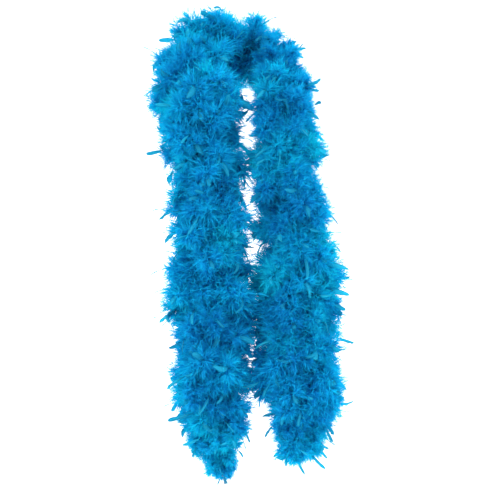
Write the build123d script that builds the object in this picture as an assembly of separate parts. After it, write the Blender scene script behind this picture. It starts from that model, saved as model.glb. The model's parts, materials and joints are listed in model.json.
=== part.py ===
from build123d import *
import math
import os

# Feather boa: about 1.8 m of limp two-ply cord with dyed turkey feathers caught in its twist.
# It hangs round a neck, behind the nape, over both shoulders and down the chest in two tails.
#
# Frame, in millimetres: the origin is where the boa touches the nape, +Z is up, the wearer
# faces -Y, and the long tail hangs on the -X side.
#
# The cord, its down and its feathers bend everywhere. Each tail is five rigid links here, and
# each link ends in a hinge at the middle of one straight run of the route.

# ---- Driving dimensions ----
CORD_D = 3.2            # core cord, over both plies
FLUFF_R = 22.0          # matted down round the cord, outer radius
FLUFF_BORE_GAP = 0.25   # down to cord, radial
TRAP_DEPTH = 0.9        # how far a quill tip sits inside the twist
FEATHER_REACH = 100.0   # longest feather, from the cord's axis to its tip
REACH_STEPS = (1.0, 0.9, 0.97, 0.82)    # lengths that repeat along the cord, of the longest
SHORT_STEPS = (0.72, 0.6, 0.5, 0.42)    # shorter feathers, used beside a hinge or the neck
FEATHER_DROOP = 18.0    # how far the tip of the longest leans towards the tail's end
DROOP_AT_MIDDLE = 0.3   # part of that lean that it has at half its length
QUILL_W = 1.5           # quill below the vane
VANE_W = 13.0           # vane at its widest
VANE_START = 50.0       # from the cord's axis to the foot of the vane
VANE_FLARE = 12.0       # length over which the vane widens
FOOT_SHARE = 0.6        # on a short feather, the foot is no further out than this part of its reach
FLARE_SHARE = 0.2       # and its flare is no longer than this part of it
VANE_TIP_R = 4.5        # rounded corners of the blunt tip
VANE_T = 0.45           # thickness of quill and vane
FEATHER_PITCH = 5.4     # spacing of the quills along the cord
GOLDEN_TURN = 137.508   # turn from one feather to the next, degrees
LINK_TURN = 61.0        # turn of a link's first feather from that of the link above, degrees
COLLAR_TURN = 25.0      # turn of the collar's first feather, degrees
PARTING_X = 22.0        # upright plane between the tails, where their feathers meet
PARTING_GAP = 0.8       # feathers to that plane
NECK_R = 52.0           # the neck that the boa goes round
NECK_GAP = 4.0          # feathers to the neck
NECK_DEPTH = 125.0      # how far down from the nape the neck matters
NAPE_EXTRA = 45.0       # length of the nape's down past the first bend, each side
KNOT_R = 4.6            # stopper knot at each end
KNOT_LENGTH = 8.0
KNOT_TURNS = 3          # turns of cord that show on it
TURN_FULLNESS = 0.98    # thickness of a turn, of its pitch
END_LENGTH = 16.0       # frayed cord left beyond the knot
END_FLARE_R = 3.0       # radius of its brush
JOINT_GAP = 0.6         # between the pieces of two links, at the joint's limit
FACE_GAP = 0.3          # between feathers of two links
PART_GAP = 0.3          # between two lengths of down in one body

FILLET_SHARE = 0.45     # part of the shorter run that each arc of the cord takes

# Joint limits that the pieces make room for, degrees, from the shoulder down.
JOINT_LIMITS = (50.0, 40.0, 30.0, 40.0, 30.0)
# Each hinge is at the middle of the run that starts at this point of its tail.
HINGE_RUNS = (3, 6, 9, 11, 13)

# ---- Route of the cord, from behind the nape down each tail ----
NAPE_Y = FLUFF_R
LONG_ROUTE = [
    (-30, NAPE_Y, 0),
    (-69, 0, -9),
    (-83, -43, -40),
    (-84, -87, -79),
    (-80, -121, -125),
    (-71, -142, -177),
    (-62, -155, -231),
    (-57, -163, -286),
    (-56, -166, -343),
    (-54, -168, -400),
    (-56, -167, -457),
    (-55, -168, -514),
    (-51, -169, -570),
    (-50, -168, -625),
    (-46, -167, -679),
    (-38, -168, -731),
    (-31, -167, -773),
    (-27, -168, -797),
]
SHORT_ROUTE = [
    (30, NAPE_Y, 0),
    (64, -2, -10),
    (77, -46, -40),
    (80, -89, -79),
    (84, -122, -125),
    (88, -143, -177),
    (92, -156, -232),
    (97, -163, -288),
    (102, -166, -345),
    (105, -168, -402),
    (107, -167, -459),
    (111, -168, -515),
    (116, -169, -570),
    (119, -168, -624),
    (119, -167, -677),
    (116, -168, -722),
    (113, -167, -758),
]


def middle(a, b):
    """Point halfway between a and b."""
    return tuple((p + q) / 2 for p, q in zip(a, b))


def distance(a, b):
    """Straight distance between two points."""
    return (Vector(*b) - Vector(*a)).length


def arc_radii(points):
    """Radius of the arc at each inner point: FILLET_SHARE of the shorter run beside it."""
    radii = []
    for before, corner, after in zip(points, points[1:], points[2:]):
        run_in = Vector(*corner) - Vector(*before)
        run_out = Vector(*after) - Vector(*corner)
        half_turn = math.radians(run_in.get_angle(run_out)) / 2
        radii.append(FILLET_SHARE * min(run_in.length, run_out.length) / math.tan(half_turn))
    return radii


def stations(route):
    """Where one tail is parted: its hinges, with the route points between each two."""
    hinges = [middle(route[run], route[run + 1]) for run in HINGE_RUNS]
    spans = []
    for k, run in enumerate(HINGE_RUNS):
        last = HINGE_RUNS[k + 1] + 1 if k + 1 < len(HINGE_RUNS) else len(route)
        inner = route[run + 1:last]
        far = [hinges[k + 1]] if k + 1 < len(hinges) else []
        spans.append([hinges[k]] + inner + far)
    return hinges, spans


def span_path(points, route):
    """Wire through one span. The arcs keep the radii that they have on the whole route."""
    whole = dict(zip(route[1:-1], arc_radii(route)))
    radii = [whole[p] for p in points[1:-1]]
    return Wire(FilletPolyline(*points, radius=radii).edges())


def clear_of_hinge(radius, limit):
    """Distance from a hinge at which a piece of this radius clears its mirror image when bent."""
    return radius * math.tan(math.radians(limit / 2)) + JOINT_GAP


def cut_back(path, start, end):
    """The path without the first start and the last end millimetres."""
    return path.trim(start / path.length, 1 - end / path.length)


def tube(path, radius, bore=0.0):
    """Round tube, or rod, along a path."""
    section = Plane(path @ 0, z_dir=path % 0)
    ring = Circle(radius) - Circle(bore) if bore else Circle(radius)
    return sweep(section * ring, path=path, transition=Transition.ROUND)


def core_cord(path, start_limit, end_limit):
    """Cord of one link, cut back from its hinges. A limit of None is a free end."""
    gaps = [clear_of_hinge(CORD_D / 2, limit) if limit else 0 for limit in (start_limit, end_limit)]
    return tube(cut_back(path, *gaps), CORD_D / 2)


def fluff(path, start_limit, end_limit):
    """Matted down of one link: a soft thick sleeve. A limit of None is a free or parted end."""
    gaps = [clear_of_hinge(FLUFF_R, limit) if limit else PART_GAP / 2 for limit in (start_limit, end_limit)]
    return tube(cut_back(path, *gaps), FLUFF_R, CORD_D / 2 + FLUFF_BORE_GAP)


def feather(reach):
    """One feather, its quill tip inside the twist and its blunt vane leaning to the tail's end.

    Its root is at the origin, it points along +X, and +Z is towards the end of the tail.
    """
    root = CORD_D / 2 - TRAP_DEPTH
    lean = FEATHER_DROOP * (reach / FEATHER_REACH) ** 2
    bend = (root + reach) / 2
    spine = ThreePointArc((root, 0), (bend, lean * DROOP_AT_MIDDLE), (reach, lean))
    back = ThreePointArc(
        (root, VANE_T), (bend, lean * DROOP_AT_MIDDLE + VANE_T), (reach, lean + VANE_T))
    side = make_face([spine, back, Line(spine @ 0, back @ 0), Line(spine @ 1, back @ 1)])
    band = extrude(Plane((0, 0, 0), x_dir=(1, 0, 0), z_dir=(0, -1, 0)) * side, VANE_W, both=True)

    foot = min(VANE_START, reach * FOOT_SHARE)
    wide = foot + min(VANE_FLARE, reach * FLARE_SHARE)
    outline = Polyline(
        (root - 1, -QUILL_W / 2), (foot, -QUILL_W / 2), (wide, -VANE_W / 2), (reach, -VANE_W / 2),
        (reach, VANE_W / 2), (wide, VANE_W / 2), (foot, QUILL_W / 2), (root - 1, QUILL_W / 2),
        close=True,
    )
    shape = make_face(outline)
    tip_corners = shape.vertices().sort_by(Axis.X)[-2:]
    blade = extrude(fillet(tip_corners, VANE_TIP_R), 2 * FEATHER_DROOP, both=True)
    return (band & blade).solid()


LONG_LENGTHS = [round(FEATHER_REACH * step, 1) for step in REACH_STEPS]
SHORT_LENGTHS = [round(FEATHER_REACH * step, 1) for step in SHORT_STEPS]
FEATHERS = {reach: feather(reach) for reach in LONG_LENGTHS + SHORT_LENGTHS}


def lean_of(reach):
    """How far the tip of a feather of this reach lies along the cord from its root."""
    return FEATHER_DROOP * (reach / FEATHER_REACH) ** 2


def clears_hinges(reach, along, length, start_limit, end_limit):
    """Whether a feather rooted at this place keeps its half of the room at both hinges."""
    half_width = VANE_W / 2
    rim = math.hypot(reach, half_width)
    ok = True
    if start_limit:
        ok = ok and along > rim * math.tan(math.radians(start_limit / 2)) + FACE_GAP
        ok = ok and along > clear_of_hinge(FLUFF_R, start_limit)
    if end_limit:
        room = length - along - lean_of(reach) - VANE_T
        ok = ok and room > rim * math.tan(math.radians(end_limit / 2)) + FACE_GAP
    return ok


def clears_neck(root, tip):
    """Whether a feather stays out of the upright cylinder of the wearer's neck."""
    axis_y = -NECK_R
    for share in (0.25, 0.5, 0.75, 1.0):
        point = root + (tip - root) * share
        inside = math.hypot(point.X, point.Y - axis_y) < NECK_R + NECK_GAP
        if inside and point.Z > -NECK_DEPTH:
            return False
    return True


def clears_other_tail(root, tip):
    """Whether a feather stays on its own tail's side of the plane between the tails."""
    side = math.copysign(1, root.X - PARTING_X)
    return (tip.X - PARTING_X) * side > VANE_W / 2 + PARTING_GAP


def feathers(path, start_limit, end_limit, first_turn, downhill=1, parted=True):
    """All feathers of one link, each the longest that its place has room for."""
    placed = []
    count = int(path.length / FEATHER_PITCH)
    for k in range(count):
        along = (k + 0.5) * FEATHER_PITCH
        root = path.position_at(along / path.length)
        axis = path.tangent_at(along / path.length) * downhill
        across = axis.cross(Vector(0, 1, 0)).normalized().rotate(
            Axis((0, 0, 0), axis), first_turn + k * GOLDEN_TURN)
        choices = [LONG_LENGTHS[k % len(LONG_LENGTHS)]] + SHORT_LENGTHS
        limits = (start_limit, end_limit)
        place = along
        if downhill < 0:
            limits = (end_limit, start_limit)
            place = path.length - along
        for reach in choices:
            tip = root + across * reach + axis * lean_of(reach)
            clear = clears_hinges(reach, place, path.length, *limits) and clears_neck(root, tip)
            if clear and (clears_other_tail(root, tip) or not parted):
                seat = Plane(root, x_dir=across, z_dir=axis)
                placed.append(seat.location * FEATHERS[reach])
                break
    return placed


def end_knot(at, axis):
    """Stopper knot, round the cord at a free end."""
    turn_r = KNOT_LENGTH / KNOT_TURNS / 2
    bore = CORD_D / 2
    barrel = Cylinder(KNOT_R - turn_r, KNOT_LENGTH, align=(Align.CENTER, Align.CENTER, Align.MIN))
    for k in range(KNOT_TURNS):
        ring = Torus(KNOT_R - turn_r, turn_r * TURN_FULLNESS)
        barrel += Location((0, 0, (2 * k + 1) * turn_r)) * ring
    barrel -= Cylinder(bore, KNOT_LENGTH * 3)
    return Plane(at, z_dir=axis).location * barrel


def cord_end(at, axis):
    """Frayed end of the cord beyond its knot."""
    brush = Cone(CORD_D / 2, END_FLARE_R, END_LENGTH, align=(Align.CENTER, Align.CENTER, Align.MIN))
    neck = Cylinder(CORD_D / 2, KNOT_LENGTH, align=(Align.CENTER, Align.CENTER, Align.MAX))
    return Plane(at, z_dir=axis).location * (brush + neck)


def write(name, solids):
    """One STEP file of one or more separate solids."""
    shapes = [s for item in solids for s in item.solids()]
    export_step(Compound(children=shapes) if len(shapes) > 1 else shapes[0], f"parts/{name}.step")
    print(name, len(shapes), "solid(s)", round(sum(s.volume for s in shapes)), "mm3")


def make_link(name, path, start_limit, end_limit, first_turn):
    """Cord, down and feathers of one link."""
    cord = core_cord(path, start_limit, end_limit)
    write(f"{name}_core_cord", [cord])
    write(f"{name}_down", [fluff(path, start_limit, end_limit)])
    write(f"{name}_feathers", feathers(path, start_limit, end_limit, first_turn))
    return cord.volume


def make_tail(name, route):
    """Five links of one tail, then the knot and the frayed end of its cord."""
    hinges, spans = stations(route)
    total = 0.0
    for k, points in enumerate(spans):
        path = span_path(points, route)
        end_limit = JOINT_LIMITS[k + 1] if k + 1 < len(spans) else None
        total += make_link(f"{name}_{k + 1}", path, JOINT_LIMITS[k], end_limit, LINK_TURN * k)
    axis = path % 1
    write(f"{name}_end_knot", [end_knot(path @ 1, axis)])
    write(f"{name}_cord_end", [cord_end(path @ 1 + axis * KNOT_LENGTH, axis)])
    print(name, "hinges", [tuple(round(v, 1) for v in h) for h in hinges])
    return hinges


def make_collar(long_hinge, short_hinge):
    """The middle of the boa: over one shoulder, behind the neck and over the other."""
    first = HINGE_RUNS[0] + 1
    route = LONG_ROUTE[::-1] + SHORT_ROUTE
    inner = LONG_ROUTE[:first][::-1] + SHORT_ROUTE[:first]
    path = span_path([long_hinge] + inner + [short_hinge], route)
    limit = JOINT_LIMITS[0]
    write("collar_core_cord", [core_cord(path, limit, limit)])

    # The down and the feathers part behind each side of the neck, in the same body.
    nape_half = distance(LONG_ROUTE[0], SHORT_ROUTE[0]) / 2 + NAPE_EXTRA
    cut = path.length / 2 - nape_half
    left = cut_back(path, 0, path.length - cut)
    nape = cut_back(path, cut, cut)
    right = cut_back(path, path.length - cut, 0)
    for name, part, start, end, downhill in (
        ("left_shoulder", left, limit, None, -1),
        ("nape", nape, None, None, 1),
        ("right_shoulder", right, None, limit, 1),
    ):
        write(f"{name}_down", [fluff(part, start, end)])
        write(f"{name}_feathers", feathers(part, start, end, COLLAR_TURN, downhill, parted=False))
    return path


def main():
    """Build and write every piece."""
    os.makedirs("parts", exist_ok=True)
    long_hinges = make_tail("long_tail", LONG_ROUTE)
    short_hinges = make_tail("short_tail", SHORT_ROUTE)
    make_collar(long_hinges[0], short_hinges[0])

    whole = LONG_ROUTE[::-1] + SHORT_ROUTE
    radii = arc_radii(whole)
    cord = Wire(FilletPolyline(*whole, radius=radii).edges())
    rod = tube(cord, CORD_D / 2)
    section = math.pi * (CORD_D / 2) ** 2
    print("cord length", round(cord.length), "mm with knots and ends",
          round(cord.length + 2 * (KNOT_LENGTH + END_LENGTH)), "mm")
    print("cord volume over section x length", round(rod.volume / (section * cord.length), 4))
    print("arc radii", [round(r) for r in radii], "smallest in diameters", round(min(radii) / CORD_D, 1))


main()
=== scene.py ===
"""A dyed feather boa: a twisted core cord with hundreds of plumes caught in it, hung round a neck.

Every plume has a quill, a bush of downy barbs and a firm blunt vane. The boa is planted stretch by
stretch, one stretch round each hinge of the frame.
"""

import json
import logging
import math
import random
from dataclasses import dataclass, field
from enum import Enum

import bmesh
import bpy
import numpy as np
from mathutils import Matrix, Vector, noise

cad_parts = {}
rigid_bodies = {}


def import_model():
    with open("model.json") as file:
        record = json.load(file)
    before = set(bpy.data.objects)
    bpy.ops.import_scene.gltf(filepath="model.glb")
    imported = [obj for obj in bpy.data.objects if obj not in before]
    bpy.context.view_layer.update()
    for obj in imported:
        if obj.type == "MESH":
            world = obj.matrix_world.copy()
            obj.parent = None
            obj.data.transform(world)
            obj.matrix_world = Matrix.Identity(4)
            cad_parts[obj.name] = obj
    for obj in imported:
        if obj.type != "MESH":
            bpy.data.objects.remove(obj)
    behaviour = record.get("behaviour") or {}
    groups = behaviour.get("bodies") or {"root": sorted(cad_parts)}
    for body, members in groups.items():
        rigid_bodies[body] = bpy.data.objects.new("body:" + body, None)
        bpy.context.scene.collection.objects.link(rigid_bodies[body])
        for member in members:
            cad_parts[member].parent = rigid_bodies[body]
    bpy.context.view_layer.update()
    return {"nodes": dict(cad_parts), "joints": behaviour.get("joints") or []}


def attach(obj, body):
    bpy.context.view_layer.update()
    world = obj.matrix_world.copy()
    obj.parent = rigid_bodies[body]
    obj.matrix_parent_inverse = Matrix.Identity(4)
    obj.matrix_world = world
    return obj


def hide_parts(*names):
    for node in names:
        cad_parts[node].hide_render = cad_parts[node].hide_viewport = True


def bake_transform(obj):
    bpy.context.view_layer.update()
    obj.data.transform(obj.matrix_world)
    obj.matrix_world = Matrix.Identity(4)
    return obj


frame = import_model()

log = logging.getLogger("feather_boa")

MM = 0.001
BAKE_UV = "OFBake"
UV_MARGIN = 0.01
DOWN = Vector((0, 0, -1))
GOLDEN_TURN = math.radians(137.508)
SAME_PLACE = 1e-6

Colour = tuple[float, float, float]
Stops = tuple[tuple[float, Colour], ...]
Depths = tuple[tuple[float, float], ...]

# Route of the core cord in millimetres, from behind the nape down each tail.
LONG_ROUTE = [
    (-30, 22, 0),
    (-69, 0, -9),
    (-83, -43, -40),
    (-84, -87, -79),
    (-80, -121, -125),
    (-71, -142, -177),
    (-62, -155, -231),
    (-57, -163, -286),
    (-56, -166, -343),
    (-54, -168, -400),
    (-56, -167, -457),
    (-55, -168, -514),
    (-51, -169, -570),
    (-50, -168, -625),
    (-46, -167, -679),
    (-38, -168, -731),
    (-31, -167, -773),
    (-27, -168, -797),
]
SHORT_ROUTE = [
    (30, 22, 0),
    (64, -2, -10),
    (77, -46, -40),
    (80, -89, -79),
    (84, -122, -125),
    (88, -143, -177),
    (92, -156, -232),
    (97, -163, -288),
    (102, -166, -345),
    (105, -168, -402),
    (107, -167, -459),
    (111, -168, -515),
    (116, -169, -570),
    (119, -168, -624),
    (119, -167, -677),
    (116, -168, -722),
    (113, -167, -758),
]


class Side(Enum):
    """The two tails, named as in the frame."""

    LONG = "long_tail"
    SHORT = "short_tail"


@dataclass(frozen=True)
class Ruff:
    """Fluff along one tail: its radius at heights above the nape in millimetres, and its end."""

    radii: Depths
    hang: float

    def radius(self, height: float) -> float:
        """Radius of the fluff at a height, both in metres."""
        return float(np.interp(height / MM, *zip(*self.radii))) * MM


RUFFS = {
    Side.LONG: Ruff(
        radii=(
            (-810, 20), (-795, 24), (-780, 31), (-758, 40), (-730, 52), (-703, 60), (-647, 72), (-573, 73),
            (-481, 78), (-388, 77), (-296, 73), (-203, 70), (-157, 76), (-111, 82), (-65, 82), (-18, 68),
            (0, 72),
        ),
        hang=1.6,
    ),
    Side.SHORT: Ruff(
        radii=(
            (-770, 34), (-745, 50), (-725, 56), (-703, 57), (-660, 67), (-590, 82), (-481, 77), (-388, 72),
            (-296, 73), (-203, 70), (-157, 64), (-111, 63), (-65, 58), (-18, 44), (-5, 52), (0, 70),
        ),
        hang=0.4,
    ),
}

# How far the two tails grow across to each other at heights in millimetres, from 0 to 1.
MEETING = (
    (-670, 0), (-640, 0.7), (-540, 1), (-522, 0.5), (-505, 1), (-412, 1), (-400, 0.4), (-372, 0.4),
    (-356, 1), (-333, 0.4), (-306, 1), (-280, 1), (-268, 0.3), (-236, 0.3), (-226, 1), (-206, 1),
    (-195, 0.2), (-115, 0.2), (-100, 0.8), (-60, 0),
)


def cleared_mesh(bm: bmesh.types.BMesh, name: str) -> bpy.types.Mesh:
    """Writes a bmesh to a new mesh and frees it.

    Args:
        bm: The geometry.
        name: Name of the new mesh.

    Returns:
        The new mesh.
    """
    mesh = bpy.data.meshes.new(name)
    bm.to_mesh(mesh)
    bm.free()
    return mesh


def shown(mesh: bpy.types.Mesh, name: str) -> bpy.types.Object:
    """Puts a mesh into the scene as an object at the origin.

    Args:
        mesh: The mesh, with its place in its vertices.
        name: Name of the piece.

    Returns:
        The new object.
    """
    piece = bpy.data.objects.new(name, mesh)
    bpy.context.scene.collection.objects.link(piece)
    return piece


class Route:
    """The smooth line of the core cord, from the end of the long tail to the end of the short one."""

    def __init__(self, points: list[tuple[float, float, float]]) -> None:
        """Args:
            points: Control points in millimetres.
        """
        self.points = [Vector(p) * MM for p in points]
        self.line = self._line()
        steps = np.linalg.norm(np.diff(self.line, axis=0), axis=1)
        self.arc = np.concatenate([[0.0], np.cumsum(steps)])
        self.length = float(self.arc[-1])

    def _line(self) -> np.ndarray:
        """Samples the NURBS spline through Blender.

        Returns:
            One row for each sampled point.
        """
        curve = bpy.data.curves.new("route", "CURVE")
        curve.dimensions = "3D"
        curve.resolution_u = 24
        spline = curve.splines.new("NURBS")
        spline.points.add(len(self.points) - 1)
        for knot, place in zip(spline.points, self.points):
            knot.co = (*place, 1.0)
        spline.order_u = 3
        spline.use_endpoint_u = True
        holder = bpy.data.objects.new("route", curve)
        mesh = bpy.data.meshes.new_from_object(holder)
        line = np.array([v.co for v in mesh.vertices])
        bpy.data.objects.remove(holder)
        bpy.data.curves.remove(curve)
        bpy.data.meshes.remove(mesh)
        return line

    def at(self, arc: float) -> Vector:
        """Point at an arc length from the long tail's end."""
        return Vector([float(np.interp(arc, self.arc, self.line[:, k])) for k in range(3)])

    def tangent(self, arc: float) -> Vector:
        """Unit direction of the line, towards the short tail's end."""
        reach = 2 * MM
        return (self.at(arc + reach) - self.at(arc - reach)).normalized()

    def nearest(self, place: Vector) -> float:
        """Arc length of the line's nearest point to a place."""
        gaps = np.linalg.norm(self.line - np.array(place), axis=1)
        return float(self.arc[int(np.argmin(gaps))])

    def between(self, start: float, end: float, step: float) -> list[Vector]:
        """Points along a part of the line.

        Args:
            start: First arc length.
            end: Last arc length.
            step: Rough distance between points.

        Returns:
            The points, both ends included.
        """
        count = max(2, round(abs(end - start) / step))
        return [self.at(start + (end - start) * k / count) for k in range(count + 1)]


@dataclass(frozen=True)
class FibreDye:
    """Finish of dyed feather fibres, coloured along each fibre and from plume to plume; in the down, the
    lighter colours towards each fibre's tip are painted light.
    """

    name: str
    slot: str
    piece: str
    along: Stops
    between: Stops
    roughness: float
    sheen: float
    sheen_tint: Colour
    gloss: float
    glow: float

    def material(self) -> bpy.types.Material:
        """Builds the finish: UV X runs along a fibre, and UV Y picks the plume's own shade.

        Returns:
            The material.
        """
        mat = bpy.data.materials.new(self.name)
        mat.use_nodes = True
        nodes, links = mat.node_tree.nodes, mat.node_tree.links
        surface, out = nodes["Principled BSDF"], nodes["Material Output"]
        uv = nodes.new("ShaderNodeUVMap")
        uv.uv_map = BAKE_UV
        split = nodes.new("ShaderNodeSeparateXYZ")
        links.new(uv.outputs["UV"], split.inputs["Vector"])
        along = self._ramp(nodes, self.along)
        between = self._ramp(nodes, self.between)
        links.new(split.outputs["X"], along.inputs["Fac"])
        links.new(split.outputs["Y"], between.inputs["Fac"])
        mixed = nodes.new("ShaderNodeMix")
        mixed.data_type = "RGBA"
        mixed.blend_type = "MULTIPLY"
        mixed.inputs["Factor"].default_value = 1.0
        links.new(along.outputs["Color"], mixed.inputs["A"])
        links.new(between.outputs["Color"], mixed.inputs["B"])
        links.new(mixed.outputs["Result"], surface.inputs["Base Color"])
        surface.inputs["Roughness"].default_value = self.roughness
        surface.inputs["Sheen Weight"].default_value = self.sheen
        surface.inputs["Sheen Tint"].default_value = (*self.sheen_tint, 1.0)
        surface.inputs["Specular IOR Level"].default_value = self.gloss
        through = nodes.new("ShaderNodeBsdfTranslucent")
        links.new(mixed.outputs["Result"], through.inputs["Color"])
        both = nodes.new("ShaderNodeMixShader")
        both.inputs["Fac"].default_value = self.glow
        links.new(surface.outputs["BSDF"], both.inputs[1])
        links.new(through.outputs["BSDF"], both.inputs[2])
        links.new(both.outputs["Shader"], out.inputs["Surface"])
        return mat

    @staticmethod
    def _ramp(nodes: bpy.types.Nodes, stops: Stops) -> bpy.types.Node:
        """Colour ramp with placed colours.

        Args:
            nodes: The material's nodes.
            stops: Places from 0 to 1, each with its colour.

        Returns:
            The ramp node.
        """
        node = nodes.new("ShaderNodeValToRGB")
        elements = node.color_ramp.elements
        elements[0].position, elements[-1].position = stops[0][0], stops[-1][0]
        elements[0].color = (*stops[0][1], 1.0)
        elements[-1].color = (*stops[-1][1], 1.0)
        for place, colour in stops[1:-1]:
            elements.new(place).color = (*colour, 1.0)
        return node


DOWN_DYE_AND_PAINTED_LIGHT = FibreDye(
    name="dyed_down_painted_light",
    slot="down",
    piece="fluff",
    # Dye colour, darker at each fibre's root and lighter towards its tip: the lighter tip colours are
    # painted light, standing in for light shining through the fringe.
    along=((0.0, (0.0, 0.28, 0.55)), (0.5, (0.0, 0.42, 0.72)), (1.0, (0.0, 0.58, 0.84))),
    between=((0.0, (0.7, 0.72, 0.88)), (0.5, (1.0, 0.97, 1.0)), (1.0, (1.0, 1.22, 1.0))),
    roughness=0.85,
    sheen=0.08,
    sheen_tint=(0.0, 0.7, 1.0),
    gloss=0.3,
    glow=0.6,
)
VANE_DYE = FibreDye(
    name="dyed_vane",
    slot="feather",
    piece="vanes",
    along=(
        (0.0, (0.01, 0.07, 0.10)),
        (0.09, (0.01, 0.09, 0.13)),
        (0.12, (0.0, 0.13, 0.22)),
        (0.4, (0.0, 0.24, 0.40)),
        (1.0, (0.01, 0.36, 0.56)),
    ),
    between=((0.0, (0.7, 0.75, 0.8)), (0.5, (1.0, 0.95, 0.95)), (1.0, (1.5, 1.3, 1.2))),
    roughness=0.7,
    sheen=0.0,
    sheen_tint=(0.4, 0.85, 1.0),
    gloss=0.12,
    glow=0.5,
)


@dataclass(frozen=True)
class CordDye:
    """Finish of the twisted core cord: dyed cotton with fine fibres round each ply."""

    name: str = "dyed_cord"
    slot: str = "core_cord"
    deep: Colour = (0.0, 0.10, 0.20)
    worn: Colour = (0.02, 0.24, 0.38)
    fibre_scale: float = 900.0
    roughness: float = 0.9

    def material(self) -> bpy.types.Material:
        """Builds the finish from noise on object coordinates.

        Returns:
            The material.
        """
        mat = bpy.data.materials.new(self.name)
        mat.use_nodes = True
        nodes, links = mat.node_tree.nodes, mat.node_tree.links
        surface = nodes["Principled BSDF"]
        place = nodes.new("ShaderNodeTexCoord")
        fibres = nodes.new("ShaderNodeTexNoise")
        fibres.inputs["Scale"].default_value = self.fibre_scale
        fibres.inputs["Detail"].default_value = 3.0
        links.new(place.outputs["Object"], fibres.inputs["Vector"])
        ramp = nodes.new("ShaderNodeValToRGB")
        ramp.color_ramp.elements[0].color = (*self.deep, 1.0)
        ramp.color_ramp.elements[1].color = (*self.worn, 1.0)
        links.new(fibres.outputs["Fac"], ramp.inputs["Fac"])
        links.new(ramp.outputs["Color"], surface.inputs["Base Color"])
        surface.inputs["Roughness"].default_value = self.roughness
        return mat


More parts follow.
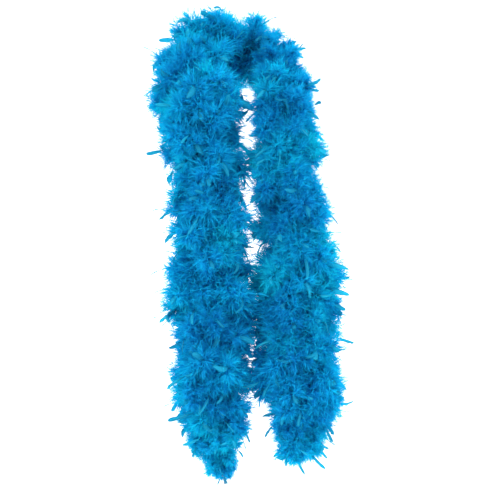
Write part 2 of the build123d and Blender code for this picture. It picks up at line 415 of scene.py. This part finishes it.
@dataclass
class Plume:
    """One turkey plume, rooted at the origin, pointing along +X and drooping towards +Z."""

    seed: int
    # Quill
    length: float = 104 * MM
    bend: float = 0.3
    sag: float = 0.25
    sway: float = 0.08
    sway_turn: float = 2.2
    quill_width: float = 1.2 * MM
    quill_taper: float = 0.7
    quill_end: float = 0.97
    quill_rows: int = 8
    quill_shade: float = 0.07
    # Downy barbs
    barbs: int = 210
    barb_length: float = 40 * MM
    barb_width: float = 2.3 * MM
    barb_steps: int = 3
    barb_share: tuple[float, float] = (0.65, 1.2)
    barb_fall: tuple[float, float] = (1.1, 0.75)
    barb_lean: tuple[float, float] = (32, 72)
    barb_fan: float = 0.75
    barb_curl: float = 0.22
    barb_crowding: float = 0.9
    first_barb: float = 0.04
    barb_span: float = 0.64
    fibre_taper: float = 0.7
    # Wisps on each barb
    wisps: int = 6
    wisp_length: float = 16 * MM
    wisp_width: float = 1.7 * MM
    wisp_place: tuple[float, float] = (0.2, 0.95)
    wisp_share: tuple[float, float] = (0.6, 1.3)
    wisp_stray: float = 0.42
    # Where wisps start on the colour ramp: lifted onto its lighter colours as painted light for the lit
    # fringe.
    wisp_painted_light: tuple[float, float] = (0.3, 0.4)
    # Firm vane at the tip
    vane_from: float = 0.6
    vane_to: tuple[float, float] = (0.88, 1.04)
    vane_width: tuple[float, float] = (10 * MM, 14 * MM)
    vane_rows: int = 8
    vane_shade: float = 0.14
    edge_shade: float = 0.8
    twist: float = 1.3
    hook_range: tuple[float, float] = (-0.16, 0.3)
    hook_back: float = 0.5
    cup_range: tuple[float, float] = (0.25, 0.9)
    lop: float = 0.25
    fray_range: tuple[float, float] = (0.78, 1.1)
    fray_back: float = 0.018
    foot_width: float = 0.12
    widest_at: float = 0.5
    blunt_from: float = 0.55
    blunt_close: float = 0.97
    rng: random.Random = field(init=False)
    tip: float = field(init=False)
    hook: float = field(init=False)

    def __post_init__(self) -> None:
        """Seeds the plume's own random draws."""
        self.rng = random.Random(self.seed)
        self.tip = self.rng.uniform(*self.vane_to)
        self.hook = self.rng.uniform(*self.hook_range) * self.length

    def spine(self, t: float) -> Vector:
        """Point on the quill's first curve, from 0 at its root to 1 at the plume's tip."""
        drop = self.bend * t * t
        aside = self.sway * math.sin(self.sway_turn * t)
        return self.length * Vector((t * (1 - self.sag * self.bend * t), aside, drop))

    def rib(self, t: float) -> Vector:
        """Point on the quill, with the hook of its vane."""
        u = max(0.0, (t - self.vane_from) / (self.tip - self.vane_from))
        ahead = self.heading(min(t, 1.0))
        up = ahead.cross(Vector((0, 0, 1))).normalized().cross(ahead)
        return self.spine(t) + up * self.hook * u ** 3 - ahead * abs(self.hook) * self.hook_back * u ** 4

    def heading(self, t: float) -> Vector:
        """Unit direction of the quill."""
        return (self.spine(t + 0.01) - self.spine(t - 0.01)).normalized()

    def strip(
        self, bm: bmesh.types.BMesh, root: Vector, way: Vector, curl: Vector, length: float,
        width: float, steps: int, shade_from: float = 0.0,
    ) -> None:
        """Adds one tapered fibre that starts straight and curls aside.

        Args:
            bm: The mesh that it joins.
            root: Where it starts.
            way: Its first direction.
            curl: How far it ends aside, as a share of its length.
            length: Its length.
            width: Its width at the root.
            steps: Number of faces along it.
            shade_from: Where its root stands on the colour ramp. Its tip stands at 1.
        """
        across = way.cross(Vector([self.rng.gauss(0, 1) for _ in range(3)])).normalized()
        grid = bmesh.ops.create_grid(bm, x_segments=steps, y_segments=1, size=0.5, calc_uvs=True)
        uv = bm.loops.layers.uv[BAKE_UV]
        for vert in grid["verts"]:
            t = vert.co.x + 0.5
            for corner in vert.link_loops:
                corner[uv].uv.x = shade_from + (1 - shade_from) * t
            side = vert.co.y * width * (1 - t) ** self.fibre_taper
            vert.co = root + length * (way * t + curl * t * t) + across * side

    def bush(self) -> bpy.types.Mesh:
        """Builds the downy barbs with their wisps.

        Returns:
            The mesh.
        """
        bm = bmesh.new()
        bm.loops.layers.uv.new(BAKE_UV)
        full, fall = self.barb_fall
        shade, rise = self.wisp_painted_light
        for k in range(self.barbs):
            t = self.first_barb + self.barb_span * (k / self.barbs) ** self.barb_crowding
            ahead = self.heading(t)
            flat = ahead.cross(Vector((0, 0, 1))).normalized()
            turn = self.rng.gauss(0, self.barb_fan) + (math.pi if k % 2 else 0)
            out = Matrix.Rotation(turn, 3, ahead) @ flat
            lean = math.radians(self.rng.uniform(*self.barb_lean))
            way = (ahead * math.cos(lean) + out * math.sin(lean)).normalized()
            curl = Vector([self.rng.gauss(0, self.barb_curl) for _ in range(3)])
            length = self.barb_length * self.rng.uniform(*self.barb_share) * (full - fall * t)
            root = self.spine(t)
            self.strip(bm, root, way, curl, length, self.barb_width, self.barb_steps)
            for _ in range(self.wisps):
                s = self.rng.uniform(*self.wisp_place)
                start = root + length * (way * s + curl * s * s)
                aside = Vector([self.rng.gauss(0, self.wisp_stray) for _ in range(3)])
                wisp = (way + 2 * s * curl + aside).normalized()
                reach = self.wisp_length * self.rng.uniform(*self.wisp_share)
                # Painted light: each wisp starts partway up the ramp, on its lighter colours.
                self.strip(bm, start, wisp, Vector(), reach, self.wisp_width, 1, shade_from=shade + rise * t)
        bmesh.ops.remove_doubles(bm, verts=bm.verts, dist=SAME_PLACE)
        return cleared_mesh(bm, f"bush_{self.seed}")

    def vane(self) -> bpy.types.Mesh:
        """Builds the quill and the firm cupped vane at its tip, blunt and a little frayed.

        Returns:
            The mesh.
        """
        bm = bmesh.new()
        bm.loops.layers.uv.new(BAKE_UV)
        uv = bm.loops.layers.uv[BAKE_UV]
        cup = self.rng.uniform(*self.cup_range)
        twist = self.rng.uniform(-self.twist, self.twist)
        width = self.rng.uniform(*self.vane_width)
        lop = self.rng.uniform(-self.lop, self.lop)
        rows = self.vane_rows
        fray = [self.rng.uniform(*self.fray_range) for _ in range(rows + 1)]
        grid = bmesh.ops.create_grid(bm, x_segments=rows, y_segments=4, size=0.5, calc_uvs=True)
        for face in bm.faces:
            for corner in face.loops:
                edge = abs(corner.vert.co.y * 2) ** 3
                corner[uv].uv.x = self.vane_shade + (1 - self.vane_shade) * (1 - self.edge_shade * edge)
        for vert in grid["verts"]:
            row, v = round((vert.co.x + 0.5) * rows), vert.co.y * 2
            u = 1 - (1 - row / rows) ** 1.5
            t = self.vane_from + (self.tip - self.vane_from) * u
            ahead = self.heading(min(t, 1.0))
            flat = ahead.cross(Vector((0, 0, 1))).normalized()
            flat = Matrix.Rotation(twist * (u - 0.3), 3, ahead) @ flat
            up = flat.cross(ahead)
            end = max(0.0, (u - self.blunt_from) / (1 - self.blunt_from))
            blunt = (1 - end ** 4 * self.blunt_close) ** 0.5
            full = math.sin(math.pi / 2 * min(u / self.widest_at, 1))
            swell = (self.foot_width + (1 - self.foot_width) * full) * blunt
            half = width / 2 * swell * (1 + lop * v) * (fray[row] if abs(v) > 0.9 else 1)
            back = self.length * self.fray_back * v * v * (u > 0.3)
            vert.co = self.rib(t) + flat * v * half + up * cup * half * v * v - ahead * back
        for side in (Vector((0, 0, 1)), Vector((0, 1, 0))):
            quill = bmesh.ops.create_grid(
                bm, x_segments=self.quill_rows, y_segments=1, size=0.5, calc_uvs=True)
            for vert in quill["verts"]:
                for corner in vert.link_loops:
                    corner[uv].uv.x *= self.quill_shade
                t = vert.co.x + 0.5
                across = side if vert.co.y > 0 else -side
                half = self.quill_width / 2 * (1 - self.quill_taper * t)
                vert.co = self.rib(t * self.tip * self.quill_end) + across * half
        return cleared_mesh(bm, f"vane_{self.seed}")


@dataclass
class Plumage:
    """The plumes that the boa is planted with, and how they stand on the cord."""

    # Kinds of plume
    kinds: int = 8
    bends: tuple[float, float] = (0.12, 0.07)
    sway: float = 0.14
    stray_kinds: int = 8
    stray_bends: tuple[float, float] = (0.1, 0.08)
    stray_sway: float = 0.18
    stray_share: float = 0.5
    stray_biggest: float = 0.99
    # Places along the cord
    pitch: float = 2.9 * MM
    pitch_stray: float = 0.4
    # Directions
    turn_stray: float = 0.2
    lean_stray: float = 0.25
    roll_stray: float = 0.9
    least_hang: float = 0.2
    droop: float = 0.55
    hanging_end: float = 60 * MM
    # Sizes
    fluff_reach: float = 78 * MM
    usual_size: float = 0.94
    size_spread: float = 0.07
    clump_size: float = 0.13
    clump_scale: float = 22.0
    biggest: float = 1.08
    smallest: float = 0.34
    # Parting between the tails
    parting: float = 22 * MM
    overlap: float = 6 * MM
    longest_crossing: float = 26 * MM
    # Nape and neck
    nape_droop: float = 0.15
    nape_depth: float = 4 * MM
    neck_radius: float = 52 * MM
    neck_depth: float = 0.12
    neck_lean: float = 0.2
    # Shades
    patch_scale: float = 24.0
    patch_depth: float = 0.75
    shade_spread: float = 0.16
    bushes: list[bpy.types.Mesh] = field(default_factory=list)
    vanes: list[bpy.types.Mesh] = field(default_factory=list)

    def grow(self) -> None:
        """Builds each kind of plume once."""
        least, more = self.bends
        for k in range(self.kinds):
            plume = Plume(seed=100 + k, bend=least + more * k, sway=self.sway * (-1) ** k)
            self.bushes.append(plume.bush())
            self.vanes.append(plume.vane())
        least, more = self.stray_bends
        for k in range(self.stray_kinds):
            stray = Plume(
                seed=300 + k, bend=least + more * k, sway=self.stray_sway * (-1) ** k,
                vane_from=0.72, vane_to=(1.06, 1.13), vane_width=(7 * MM, 12 * MM),
                twist=2.4, hook_range=(-0.22, 0.26), quill_width=1.5 * MM,
            )
            self.vanes.append(stray.vane())

    def stand(self, route: Route, index: int, arc: float, rng: random.Random) -> Matrix:
        """Where one plume stands.

        Args:
            route: The cord's line.
            index: Number of the plume, which gives its turn round the cord.
            arc: Its place along the cord.
            rng: Random draws.

        Returns:
            The transform from the plume's own frame.
        """
        root = route.at(arc)
        axis = route.tangent(arc)
        start = axis.cross(Vector((0, 1, 0))).normalized()
        turn = index * GOLDEN_TURN + rng.gauss(0, self.turn_stray)
        radial = Matrix.Rotation(turn, 3, axis) @ start
        to_end = min(arc, route.length - arc)
        ruff = RUFFS[self.side(root)]
        hanging = ruff.hang * max(0.0, 1 - to_end / self.hanging_end)
        droop = self.nape_droop if root.z > -self.nape_depth else self.droop
        way = radial + DOWN * (rng.uniform(0.0, droop) + hanging) + axis * rng.gauss(0, self.lean_stray)
        way = self.off_the_neck(root, way).normalized()
        hang = DOWN - way * way.dot(DOWN)
        if hang.length < self.least_hang:
            hang = radial.cross(axis)
        hang = Matrix.Rotation(rng.gauss(0, self.roll_stray), 3, way) @ hang.normalized()
        size = ruff.radius(root.z) / self.fluff_reach
        clump = self.clump_size * noise.noise(root * self.clump_scale + radial)
        size *= self.usual_size + rng.gauss(0, self.size_spread) + clump
        size = max(self.smallest, min(size, self.biggest)) + self.crossing(root, way) / self.fluff_reach
        turned = Matrix((way, hang.cross(way), hang)).transposed()
        return Matrix.Translation(root) @ (turned * size).to_4x4()

    def choose(self, rng: random.Random, size: float) -> tuple[int, int]:
        """Picks a bush and the vane that goes with it, which may be a stray that stands out of the fluff.

        Args:
            rng: Random draws.
            size: Scale of the plume.

        Returns:
            Numbers of the bush and of the vane.
        """
        kind = rng.randrange(self.kinds)
        if rng.random() < self.stray_share and size < self.stray_biggest:
            return kind, self.kinds + rng.randrange(self.stray_kinds)
        return kind, kind

    def shade(self, root: Vector, rng: random.Random) -> float:
        """Shade of one plume, from 0 to 1: plumes near each other are dyed nearly alike."""
        patch = noise.noise(root * self.patch_scale)
        return min(1.0, max(0.0, 0.5 + self.patch_depth * patch + rng.gauss(0, self.shade_spread)))

    def side(self, root: Vector) -> Side:
        """The tail that a place on the cord belongs to."""
        return Side.LONG if root.x < 0 else Side.SHORT

    def crossing(self, root: Vector, way: Vector) -> float:
        """How much longer a plume is because it reaches across to the other tail.

        Args:
            root: Where the plume is rooted.
            way: Its direction.

        Returns:
            The added reach.
        """
        gap = self.parting - root.x
        facing = max(0.0, way.x * math.copysign(1, gap))
        closed = float(np.interp(root.z / MM, *zip(*MEETING)))
        short_by = abs(gap) + self.overlap - RUFFS[self.side(root)].radius(root.z)
        return max(0.0, min(short_by, self.longest_crossing)) * facing ** 2 * closed

    def off_the_neck(self, root: Vector, way: Vector) -> Vector:
        """Turns a plume that would grow into the neck, so that it lies against it.

        Args:
            root: Where the plume is rooted.
            way: Its direction.

        Returns:
            The direction that keeps clear.
        """
        if root.z < -self.neck_depth:
            return way
        inward = Vector((0, -self.neck_radius, root.z)) - root
        inward.z = 0
        inward.normalize()
        push = way.dot(inward)
        return way - inward * max(0.0, push - self.neck_lean)


@dataclass
class CoreCord:
    """Two plies twisted round each other along the route."""

    diameter: float = 3.2 * MM
    twist_pitch: float = 11 * MM
    step: float = 1.1 * MM

    def strand(self, path: list[Vector], start: float, half_turn: float) -> bpy.types.Mesh:
        """One ply, wound round the path.

        Args:
            path: Points of the cord's own line.
            start: Arc length of the first point, which keeps the twist going from piece to piece.
            half_turn: Angle that sets this ply apart from the other.

        Returns:
            The ply's mesh.
        """
        curve = bpy.data.curves.new("ply", "CURVE")
        curve.dimensions = "3D"
        curve.bevel_depth = self.diameter / 4
        curve.bevel_resolution = 1
        curve.use_fill_caps = True
        spline = curve.splines.new("POLY")
        spline.points.add(len(path) - 1)
        for k, (knot, place) in enumerate(zip(spline.points, path)):
            ahead = (path[min(k + 1, len(path) - 1)] - path[max(k - 1, 0)]).normalized()
            side = ahead.cross(Vector((0, 1, 0))).normalized()
            turn = half_turn + math.tau * (start + k * self.step) / self.twist_pitch
            knot.co = (*(place + Matrix.Rotation(turn, 3, ahead) @ side * self.diameter / 4), 1.0)
        holder = bpy.data.objects.new("ply", curve)
        mesh = bpy.data.meshes.new_from_object(holder)
        bpy.data.objects.remove(holder)
        bpy.data.curves.remove(curve)
        return mesh

    def piece(self, name: str, path: list[Vector], start: float) -> bpy.types.Object:
        """Both plies of one length of cord, as one piece.

        Args:
            name: Name of the piece.
            path: Points of the cord's line.
            start: Arc length of the first point.

        Returns:
            The piece.
        """
        bm = bmesh.new()
        for half_turn in (0.0, math.pi):
            ply = self.strand(path, start, half_turn)
            bm.from_mesh(ply)
            bpy.data.meshes.remove(ply)
        bmesh.ops.recalc_face_normals(bm, faces=bm.faces)
        return shown(cleared_mesh(bm, name), name)


@dataclass
class Stretch:
    """One stretch of boa between two places on the cord."""

    name: str
    start: float
    end: float
    bodies: tuple[str, ...]
    bend: tuple[Vector, Vector] | None
    replaced_down: tuple[str, ...]
    replaced_feathers: tuple[str, ...]
    replaced_cord: tuple[str, ...]


@dataclass
class Boa:
    """The whole boa, planted stretch by stretch along the cord's line."""

    route: Route
    plumage: Plumage
    cord: CoreCord = field(default_factory=CoreCord)
    bend_reach: float = 46 * MM
    first_cut: float = 58 * MM
    free_end: float = 8 * MM
    first_seed: int = 7000
    triangles: int = 0

    def __post_init__(self) -> None:
        """Builds the three finishes once."""
        self.down_finish = DOWN_DYE_AND_PAINTED_LIGHT.material()
        self.vane_finish = VANE_DYE.material()
        self.cord_finish = CordDye().material()

    def hinges(self, tail: Side) -> list[tuple[float, str, str]]:
        """Arc length, parent and child of each hinge of a tail, from the shoulder down."""
        found = [j for j in frame["joints"] if j["child"].startswith(tail.value)]
        return [(self.route.nearest(Vector(j["pos_m"])), j["parent"], j["child"]) for j in found]

    def stretches(self) -> list[Stretch]:
        """Parts the boa at the middle of each link.

        Returns:
            The stretches, tails first and the collar last.
        """
        found = []
        collar_ends = []
        for tail, last in ((Side.LONG, 0.0), (Side.SHORT, self.route.length)):
            hinges = self.hinges(tail)
            sign = 1 if last > hinges[0][0] else -1
            arcs = [arc for arc, _, _ in hinges] + [last]
            first = arcs[0] - sign * self.first_cut
            collar_ends.append(first)
            cuts = [first] + [(a + b) / 2 for a, b in zip(arcs, arcs[1:])]
            for k, (arc, parent, child) in enumerate(hinges):
                reach = sign * self.bend_reach
                bend = (self.route.at(arc - reach), self.route.at(arc + reach))
                name = f"{tail.value}_bend_{k + 1}"
                found.append(self.stretch(name, cuts[k], cuts[k + 1], (parent, child), bend))
            end = last - sign * self.free_end
            found.append(self.stretch(f"{tail.value}_tip", cuts[-1], end, (child,), None))
        middle = sum(collar_ends) / 2
        third = (max(collar_ends) - min(collar_ends)) / 6
        lo, hi = min(collar_ends), max(collar_ends)
        for name, a, b in (
            ("left_shoulder", lo, middle - third),
            ("nape", middle - third, middle + third),
            ("right_shoulder", middle + third, hi),
        ):
            found.append(Stretch(name, a, b, ("collar",), None,
                                 (f"{name}_down",), (f"{name}_feathers",),
                                 ("collar_core_cord",) if name == "nape" else ()))
        return found

    def stretch(
        self, name: str, a: float, b: float, bodies: tuple[str, ...],
        bend: tuple[Vector, Vector] | None,
    ) -> Stretch:
        """One stretch of a tail. It stands for the link that its bend leads to."""
        link = bodies[-1]
        stands = bend is not None
        return Stretch(
            name, min(a, b), max(a, b), bodies, bend,
            (f"{link}_down",) if stands else (),
            (f"{link}_feathers",) if stands else (),
            (f"{link}_core_cord",) if stands else (),
        )

    def plant(self, part: Stretch) -> None:
        """Plants the plumes of one stretch as two pieces, its down and its vanes.

        Args:
            part: The stretch.
        """
        down_bm, vane_bm = bmesh.new(), bmesh.new()
        shades_down: list[tuple[int, float]] = []
        shades_vane: list[tuple[int, float]] = []
        pitch, stray = self.plumage.pitch, self.plumage.pitch_stray
        first = math.ceil(part.start / pitch)
        for index in range(first, math.ceil(part.end / pitch)):
            rng = random.Random(self.first_seed + index)
            arc = (index + rng.uniform(-stray, stray)) * pitch
            place = self.plumage.stand(self.route, index, arc, rng)
            kind, vane_kind = self.plumage.choose(rng, place.to_scale().x)
            shade = self.plumage.shade(place.translation, rng)
            for bm, source, shades in (
                (down_bm, self.plumage.bushes[kind], shades_down),
                (vane_bm, self.plumage.vanes[vane_kind], shades_vane),
            ):
                before = len(bm.verts)
                bm.from_mesh(source)
                bm.verts.ensure_lookup_table()
                bmesh.ops.transform(bm, matrix=place, verts=bm.verts[before:])
                shades.append((len(source.loops), shade))
        self.finish_piece(part, down_bm, shades_down, DOWN_DYE_AND_PAINTED_LIGHT, self.down_finish, part.replaced_down)
        self.finish_piece(part, vane_bm, shades_vane, VANE_DYE, self.vane_finish, part.replaced_feathers)

    def finish_piece(
        self, part: Stretch, bm: bmesh.types.BMesh, shades: list[tuple[int, float]],
        dye: FibreDye, finish: bpy.types.Material, replaced: tuple[str, ...],
    ) -> None:
        """Makes one planted bmesh a piece: shades, material, bodies and the nodes it stands for."""
        mesh = cleared_mesh(bm, f"{part.name}_{dye.piece}")
        layer = mesh.uv_layers[BAKE_UV].uv
        uv = np.empty(len(layer) * 2, np.float32)
        layer.foreach_get("vector", uv)
        uv = uv.reshape(-1, 2)
        shade = np.repeat([s for _, s in shades], [n for n, _ in shades])
        uv[:, 1] = UV_MARGIN + (1 - 4 * UV_MARGIN) * shade + 2 * UV_MARGIN * uv[:, 1]
        uv[:, 0] = UV_MARGIN + (1 - 2 * UV_MARGIN) * uv[:, 0]
        layer.foreach_set("vector", uv.ravel())
        mesh.materials.append(finish)
        piece = shown(mesh, f"{part.name}_{dye.piece}")
        self.attach(piece, part)
        if replaced:
            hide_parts(*replaced)
        faces = sum(len(p.vertices) - 2 for p in mesh.polygons)
        self.triangles += faces
        log.info("%s: %d triangles, %d so far", piece.name, faces, self.triangles)

    def lay_cord(self, part: Stretch) -> None:
        """Lays the core cord of one stretch.

        Args:
            part: The stretch.
        """
        path = self.route.between(part.start, part.end, self.cord.step)
        piece = self.cord.piece(f"{part.name}_cord", path, part.start)
        piece.data.materials.append(self.cord_finish)
        self.attach(piece, part)
        if part.replaced_cord:
            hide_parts(*part.replaced_cord)

    def dress_ends(self) -> None:
        """Gives the knots and frayed cord ends of the frame the cord's finish."""
        for tail in Side:
            for kind in ("end_knot", "cord_end"):
                node = frame["nodes"][f"{tail.value}_{kind}"]
                node.data.materials.clear()
                node.data.materials.append(self.cord_finish)

    def attach(self, piece: bpy.types.Object, part: Stretch) -> None:
        """Joins a piece to its body, or, for a stretch round a hinge, bakes its place into its mesh and
        leaves it unjoined.
        """
        if part.bend:
            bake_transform(piece)
        else:
            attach(piece, part.bodies[0])


@dataclass(frozen=True)
class Lamp:
    """One soft area light: its place and size in metres, and its power in watts."""

    name: str
    place: tuple[float, float, float]
    size: float
    power: float


@dataclass(frozen=True)
class Studio:
    """White floor and wall, soft light and the camera, in metres."""

    eye_distance: float = 5.0
    aim: tuple[float, float, float] = (0.022, -0.168, -0.388)
    view_width: float = 0.925
    sensor_width: float = 36.0
    floor_half: float = 6.0
    floor_height: float = -1.5
    wall_height: float = 7.0
    floor_paint: Colour = (0.95, 0.95, 0.95)
    floor_glow: float = 0.45
    sky: float = 1.0
    lamps: tuple[Lamp, ...] = (
        Lamp("key_light", (-1.6, -2.6, 1.5), 1.6, 92),
        Lamp("fill_light", (2.2, -2.2, 0.4), 2.0, 46),
        Lamp("rim_light", (0.6, 1.8, 1.6), 1.6, 60),
    )

    def floor(self) -> None:
        """A pale floor with a wall behind it."""
        bm = bmesh.new()
        bmesh.ops.create_grid(bm, x_segments=1, y_segments=1, size=self.floor_half)
        back = [e for e in bm.edges if all(v.co.y > 0 for v in e.verts)]
        wall = bmesh.ops.extrude_edge_only(bm, edges=back)["geom"]
        top = [g for g in wall if isinstance(g, bmesh.types.BMVert)]
        bmesh.ops.translate(bm, verts=top, vec=(0, 0, self.wall_height))
        bmesh.ops.translate(bm, verts=bm.verts, vec=(0, 0, self.floor_height))
        mat = bpy.data.materials.new("studio_white")
        mat.use_nodes = True
        surface = mat.node_tree.nodes["Principled BSDF"]
        surface.inputs["Base Color"].default_value = (*self.floor_paint, 1)
        surface.inputs["Roughness"].default_value = 0.9
        surface.inputs["Emission Color"].default_value = (1, 1, 1, 1)
        surface.inputs["Emission Strength"].default_value = self.floor_glow
        mesh = cleared_mesh(bm, "studio_floor")
        mesh.materials.append(mat)
        shown(mesh, "studio_floor")

    def light(self, lamp: Lamp) -> None:
        """Puts in one area light that points at the boa."""
        data = bpy.data.lights.new(lamp.name, "AREA")
        data.size = lamp.size
        data.energy = lamp.power
        source = bpy.data.objects.new(lamp.name, data)
        source.location = lamp.place
        source.rotation_euler = (Vector(self.aim) - source.location).to_track_quat("-Z", "Y").to_euler()
        bpy.context.scene.collection.objects.link(source)

    def build(self) -> None:
        """Floor, lights, world and camera."""
        self.floor()
        for lamp in self.lamps:
            self.light(lamp)
        world = bpy.data.worlds.new("studio_world")
        world.use_nodes = True
        sky = world.node_tree.nodes["Background"]
        sky.inputs["Color"].default_value = (1, 1, 1, 1)
        sky.inputs["Strength"].default_value = self.sky
        scene = bpy.context.scene
        scene.world = world
        scene.view_settings.view_transform = "Standard"
        camera = bpy.data.cameras.new("camera")
        camera.sensor_width = self.sensor_width
        camera.lens = camera.sensor_width * self.eye_distance / self.view_width
        eye = bpy.data.objects.new("camera", camera)
        eye.location = Vector(self.aim) - Vector((0, self.eye_distance, 0))
        eye.rotation_euler = (math.pi / 2, 0, 0)
        scene.collection.objects.link(eye)
        scene.camera = eye


def main() -> None:
    """Builds the boa in its studio."""
    logging.basicConfig(level=logging.INFO, format="%(name)s: %(message)s")
    Studio().build()
    route = Route(LONG_ROUTE[::-1] + SHORT_ROUTE)
    log.info("core cord: %.3f m", route.length)
    plumage = Plumage()
    plumage.grow()
    boa = Boa(route, plumage)
    for part in boa.stretches():
        boa.lay_cord(part)
        boa.plant(part)
    boa.dress_ends()


if __name__ == "__main__":
    main()
